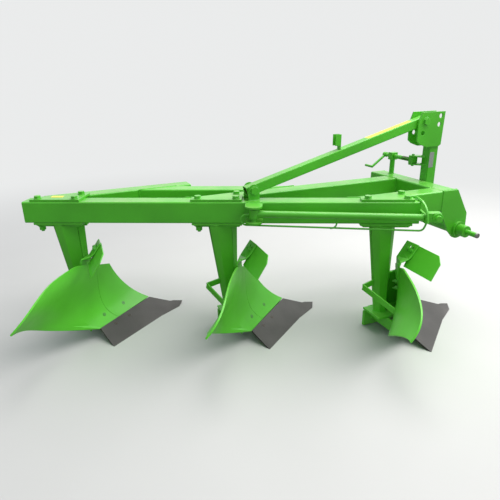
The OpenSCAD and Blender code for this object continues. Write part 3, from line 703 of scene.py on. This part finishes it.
# Headstock
# The mast post with its two head plates, the cross shaft whose turned ends are the lower
# link pins, and the clevis with the crank screw. It all slides to the side as one.
# The headstock's paint has somewhat paler edges: worn paint and painted highlight.
head_green = green_paint("headstock_paint", grass_green, edge_wear_and_highlight=0.45)
steel_part("mast_post", "tube", head_green, "headstock", "headstock_paint", width=0.001,
           along=upward, corner=0.006)
for node, kind, width in (("mast_head", "cut", 0.0014), ("cross_shaft", "cut", 0.0025),
                          ("screw_clevis", "cut", 0.0012), ("crank_screw", "bar", 0.001)):
    steel_part(node, kind, head_green, "headstock", "headstock_paint", width)
head_seams = (seams_on("mast_head", "mast_post") + seams_on("screw_clevis", "mast_post")
              + seams_on("mast_post", "cross_shaft"))
fit_piece(weld_beads("headstock_welds", head_seams, radius=0.0034), head_green, "headstock",
          "headstock_paint")

# Crank thread
# The screw's rolled thread, painted over except for the stretch by the clevis, which is
# greased and dark.
screw_x = 1.04486
screw_z = (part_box("screw_clevis")[0].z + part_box("screw_clevis")[1].z) / 2
clevis_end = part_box("screw_clevis")[1].y
nut_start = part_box("screw_post")[0].y


def worn_steel(name, tone, rough):
    """Turned steel with fine rings, smudged by grease."""
    steel, net, place = new_finish(name)
    smudge = net.noise(place, 45, 5)
    rings = net.nodes.new("ShaderNodeTexWave")
    rings.bands_direction = "Y"
    net.wire(rings, {"Vector": place, "Scale": 180})
    net.wire(net.nodes["Principled BSDF"], {
        "Metallic": 0.8,
        "Base Color": net.mixed(smudge, tuple(0.5 * c for c in tone), tone),
        "Roughness": net.between(smudge, 0, 1, rough - 0.12, rough + 0.12),
        "Normal": net.bump(rings.outputs["Fac"], strength=0.15, distance=0.0003)})
    return steel


greased = worn_steel("greased_thread", (0.09, 0.08, 0.07), rough=0.42)
bare_share = 0.45
thread_start = clevis_end + 0.002
thread_split = clevis_end + bare_share * (nut_start - clevis_end)
thread_end = nut_start - 0.021
for name, finish, start, end in (("thread_bare", greased, thread_start, thread_split),
                                 ("thread_painted", head_green, thread_split, thread_end)):
    ends = [Vector((screw_x, y, screw_z)) for y in (start, end)]
    thread = ribbed_bar(name, [ends], radius=0.0124, pitch=0.0016, depth=0.055)
    fit_piece(thread, finish, "headstock", "headstock_paint")

# Link pin tips
# Turned steel caps on the ends of the lower link pins, with a wide chamfer. The paint is
# worn off there.
pin_steel = worn_steel("pin_steel", (0.42, 0.42, 0.4), rough=0.34)
shaft_x, shaft_z = 1.10686, 0.5
cap_middle = 0.0055
for label, side, tip in (("right", -1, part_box("cross_shaft")[0].y),
                         ("left", 1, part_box("cross_shaft")[1].y)):
    bpy.ops.object.select_all(action="DESELECT")
    bpy.ops.mesh.primitive_cylinder_add(vertices=40, radius=0.0142, depth=0.012,
                                        location=(shaft_x, tip - side * cap_middle, shaft_z),
                                        rotation=(radians(90), 0, 0))
    cap = bpy.context.object
    cap.name = "pin_cap_" + label
    cap.data.transform(cap.matrix_world)
    cap.matrix_world = Matrix.Identity(4)
    break_edges(cap, 0.0022, angle=30, segments=3)
    fit_piece(cap, pin_steel, "headstock", "headstock_paint")

# Blank plate
# A pale aluminium plate fixed on the mast post's right face, left blank.
def pale_metal(name):
    """Brushed pale metal with a dull weathered film."""
    metal, net, place = new_finish(name)
    grain = net.noise(net.stretched(place, scale=(30, 30, 900)), 2)
    net.wire(net.nodes["Principled BSDF"], {
        "Metallic": 0.35,
        "Base Color": net.mixed(grain, (0.28, 0.32, 0.29), (0.4, 0.43, 0.4)),
        "Roughness": net.between(grain, 0, 1, 0.35, 0.55)})
    return metal


plate_at = Vector((1.0945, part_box("mast_post")[0].y, 0.845))
blank_plate = flat_strip("blank_plate", plate_at, upward, to_right, length=0.088,
                         width=0.032, thick=0.0009)
fit_piece(blank_plate, pale_metal("pale_plate"), "headstock", "headstock_paint")

# Pin bolts
# The through bolts at both ends of the brace: a round shank with a hexagon on a washer at
# each side.
pin_head, shank_end = 0.014, 0.013
for node, at, body, slot in (("lug_pin", lug_pin_at, "frame", "frame_paint"),
                             ("mast_pin", mast_pin_at, "headstock", "headstock_paint")):
    low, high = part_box(node)
    shank_ends = [Vector((at.x, y, at.z)) for y in (low.y + shank_end, high.y - shank_end)]
    parts = [ribbed_bar(node + "_shank", [shank_ends], radius=0.012, pitch=0.004, depth=0)]
    for kind, y, turn in (("_head", low.y + pin_head, 90), ("_nut", high.y - pin_head, -90)):
        hexagon = hex_bolt(node + kind, across=0.036, height=0.0105, washer=0.0225)
        hexagon.data.transform(Matrix.Translation((at.x, y, at.z))
                               @ Matrix.Rotation(radians(turn), 4, "X"))
        parts.append(hexagon)
    for part in parts:
        fit_piece(part, bolt_green, body, slot, node)

# Plough bodies
# Three alike: a pressed mouldboard and shin on a welded frog, a leg of flattened eight sided
# section, a landside, a flat stay, and a small trash board on a bent strap.
# The bodies' green is a lighter copy of the frame's paint: painted light for the brighter light
# that the boards catch.
lighter_body_green = green_paint("body_paint", (0.105, 0.56, 0.03), gloss=(0.3, 0.42), coat=0.25,
                         upward_paleness=0.16)
places = ("rear", "middle", "front")
body_start = Vector((-0.31014, 0.611577, 0))
for place in places:
    for kind, width, angle in (("mouldboard", 0.0008, 40), ("shin", 0.0008, 40),
                               ("frog", 0.0012, 26), ("leg", 0.003, 26),
                               ("landside", 0.0016, 26), ("stay", 0.0012, 26),
                               ("trash_board", 0.0011, 26)):
        steel_part(kind + "_" + place, "plate", lighter_body_green, "frame", "body_paint", width,
                   angle, flat=kind not in ("mouldboard", "shin"))

# Body welds
# The beads that join the leg to its flange and the plates of the frog.
for place in places:
    body_seams = inner_corners("leg_" + place, 0.02) + inner_corners("frog_" + place, 0.03)
    body_seams += seams_on("frog_" + place, "leg_" + place)
    fit_piece(weld_beads("body_welds_" + place, body_seams, radius=0.0034), lighter_body_green,
              "frame", "body_paint")

# Trash straps
# Flat bars folded over the board's top edge. The trash board hangs on two bolts, each in a
# slot, so that its depth can be set.
trash_tilt = radians(54)
slope = Vector((cos(trash_tilt), 0, sin(trash_tilt)))
out = Vector((-slope.z, 0, slope.x))
slot_stand = Matrix((slope, out.cross(slope), out)).transposed().to_4x4()
strap_half = 0.004
strap_top = Vector((-0.437, 0, 0.505)) + out * strap_half
slot_r = 0.0052
slot_half = 0.011
bolt_rise = 0.006
strap_bolt = hex_bolt("strap_bolt_model", across=0.019, height=0.008, washer=0.0125, tip=0.004)
for step, place in enumerate(places):
    node = "trash_bracket_" + place
    strap = forged_copy(node, node + "_strap")
    for across, low, high in ((-0.158, 0.044, 0.018), (-0.181, 0.047, 0.021)):
        bpy.ops.object.select_all(action="DESELECT")
        bpy.ops.mesh.primitive_cylinder_add(vertices=20, radius=slot_r, depth=0.02)
        slot = bpy.context.object
        for vert in slot.data.vertices:
            vert.co.x += slot_half if vert.co.x > 0 else -slot_half
        middle = (body_start + furrow_step * step + strap_top - slope * (low + high) / 2
                  + Vector((0, across, 0)))
        slot.data.transform(Matrix.Translation(middle) @ slot_stand)
        cut = strap.modifiers.new("slot", "BOOLEAN")
        cut.object = slot
        cut.operation = "DIFFERENCE"
        cut.solver = "EXACT"
        pick(strap)
        bpy.ops.object.modifier_apply(modifier="slot")
        bpy.data.objects.remove(slot)
        bolt = copy_at(strap_bolt, node + "_bolt_%d" % round(-1000 * across),
                       middle - slope * bolt_rise, out, turn=across * 9)
        fit_piece(bolt, bolt_green, "frame", "body_paint")
    break_edges(strap, 0.0008, angle=40)
    fit_piece(strap, lighter_body_green, "frame", "body_paint", node)
bpy.data.objects.remove(strap_bolt)

# Board fixings
# Plough bolts sunk flush in the shin and the mouldboard, and nuts on the backs of both
# beside their seam.
def plate_skin(node):
    """The surface of one plate, for setting bolts on it."""
    return BVHTree.FromBMesh(flat_steel(node))


flush_head = hex_bolt("flush_head_model", across=0.011, height=0.0006, washer=0.0105)
flush_sunk, nut_sunk = 0.0022, 0.0004
ray_front, ray_back = 0.3, -0.9
# The sunk heads are a darker green: painted shade of the ring round each head, with pale edges
# of wear and painted highlight.
shaded_sunk_green = green_paint("sunk_bolt_paint", (0.05, 0.3, 0.02), edge_wear_and_highlight=0.6)
back_nut = hex_bolt("back_nut_model", across=0.019, height=0.010, washer=0.0125, tip=0.012)
flush_spots = (("shin", -0.094, 0.102), ("mouldboard", -0.190, 0.099))
nut_spots = (("mouldboard", -0.124, 0.350), ("mouldboard", -0.136, 0.296),
             ("shin", -0.108, 0.241), ("shin", -0.105, 0.130), ("mouldboard", -0.196, 0.130))
for step, place in enumerate(places):
    start = body_start + furrow_step * step
    skins = {kind: plate_skin(kind + "_" + place) for kind in ("shin", "mouldboard")}
    for number, (kind, y, z) in enumerate(flush_spots):
        at, face, _, _ = skins[kind].ray_cast(start + Vector((ray_front, y, z)), to_rear)
        dot = copy_at(flush_head, "flush_%s_%d" % (place, number + 1),
                      at - face * flush_sunk, face)
        fit_piece(dot, shaded_sunk_green, "frame", "body_paint")
    for number, (kind, y, z) in enumerate(nut_spots):
        at, face, _, _ = skins[kind].ray_cast(start + Vector((ray_back, y, z)), to_front)
        nut = copy_at(back_nut, "back_nut_%s_%d" % (place, number + 1), at - face * nut_sunk,
                      face, turn=0.7 * number)
        fit_piece(nut, bolt_green, "frame", "body_paint")
bpy.data.objects.remove(back_nut)

# Shares
# Forged and hardened wedges, left bare: dark mill scale with a satin face, scratches drawn
# along the cutting edge, and brighter rubbed edges.
def bare_steel(name, tone, bright, rough, metal):
    """Bare steel: scaled and dull, with fine drawn scratches and bright rubbed edges."""
    steel, net, place = new_finish(name)
    share_angle = radians(38.4)

    def shade(share):
        return tuple(share * c for c in tone)

    cloud = net.between(net.noise(place, 8, 6), 0.35, 0.68, 0, 1)
    scratch = net.noise(net.stretched(place, scale=(9, 160, 160), turn=share_angle), 3, 4)
    colour = net.mixed(cloud, tone, shade(1.35))
    colour = net.mixed(net.between(scratch, 0.6, 0.75, 0, 0.5), colour, shade(1.9))
    rubbed = net.between(net.flatness(radius=0.004), 0.98, 0.8, 0, 0.75)
    drawn = net.bump(scratch, strength=0.25, distance=0.0006)
    net.wire(net.nodes["Principled BSDF"], {
        "Metallic": metal,
        "Base Color": net.mixed(rubbed, colour, bright),
        "Roughness": net.between(scratch, 0.3, 0.7, *rough),
        "Normal": net.bump(net.noise(place, 70, 3), strength=0.18, distance=0.0012,
                           under=drawn)})
    return steel


share_steel = bare_steel("share_steel", (0.05, 0.048, 0.046), bright=(0.19, 0.19, 0.18),
                         rough=(0.38, 0.52), metal=0.5)
for place in places:
    share = forged_copy("share_" + place, "share_" + place + "_forging")
    break_edges(share, 0.0012, angle=20)
    for vert in share.data.vertices:
        vert.co.z = max(vert.co.z, 0)
    fit_piece(share, share_steel, "frame", "share_steel", "share_" + place)

# Share bolts
# Two plough bolts sunk in each share, ground flush with its face.
over_share = 0.4
for step, place in enumerate(places):
    start = body_start + furrow_step * step
    skin = plate_skin("share_" + place)
    for number, (x, y) in enumerate(((-0.331, -0.162), (-0.410, -0.226))):
        at, face, _, _ = skin.ray_cast(start + Vector((x, y, over_share)), downward)
        dot = copy_at(flush_head, "share_bolt_%s_%d" % (place, number + 1),
                      at - face * flush_sunk, face)
        fit_piece(dot, greased, "frame", "share_steel")
bpy.data.objects.remove(flush_head)
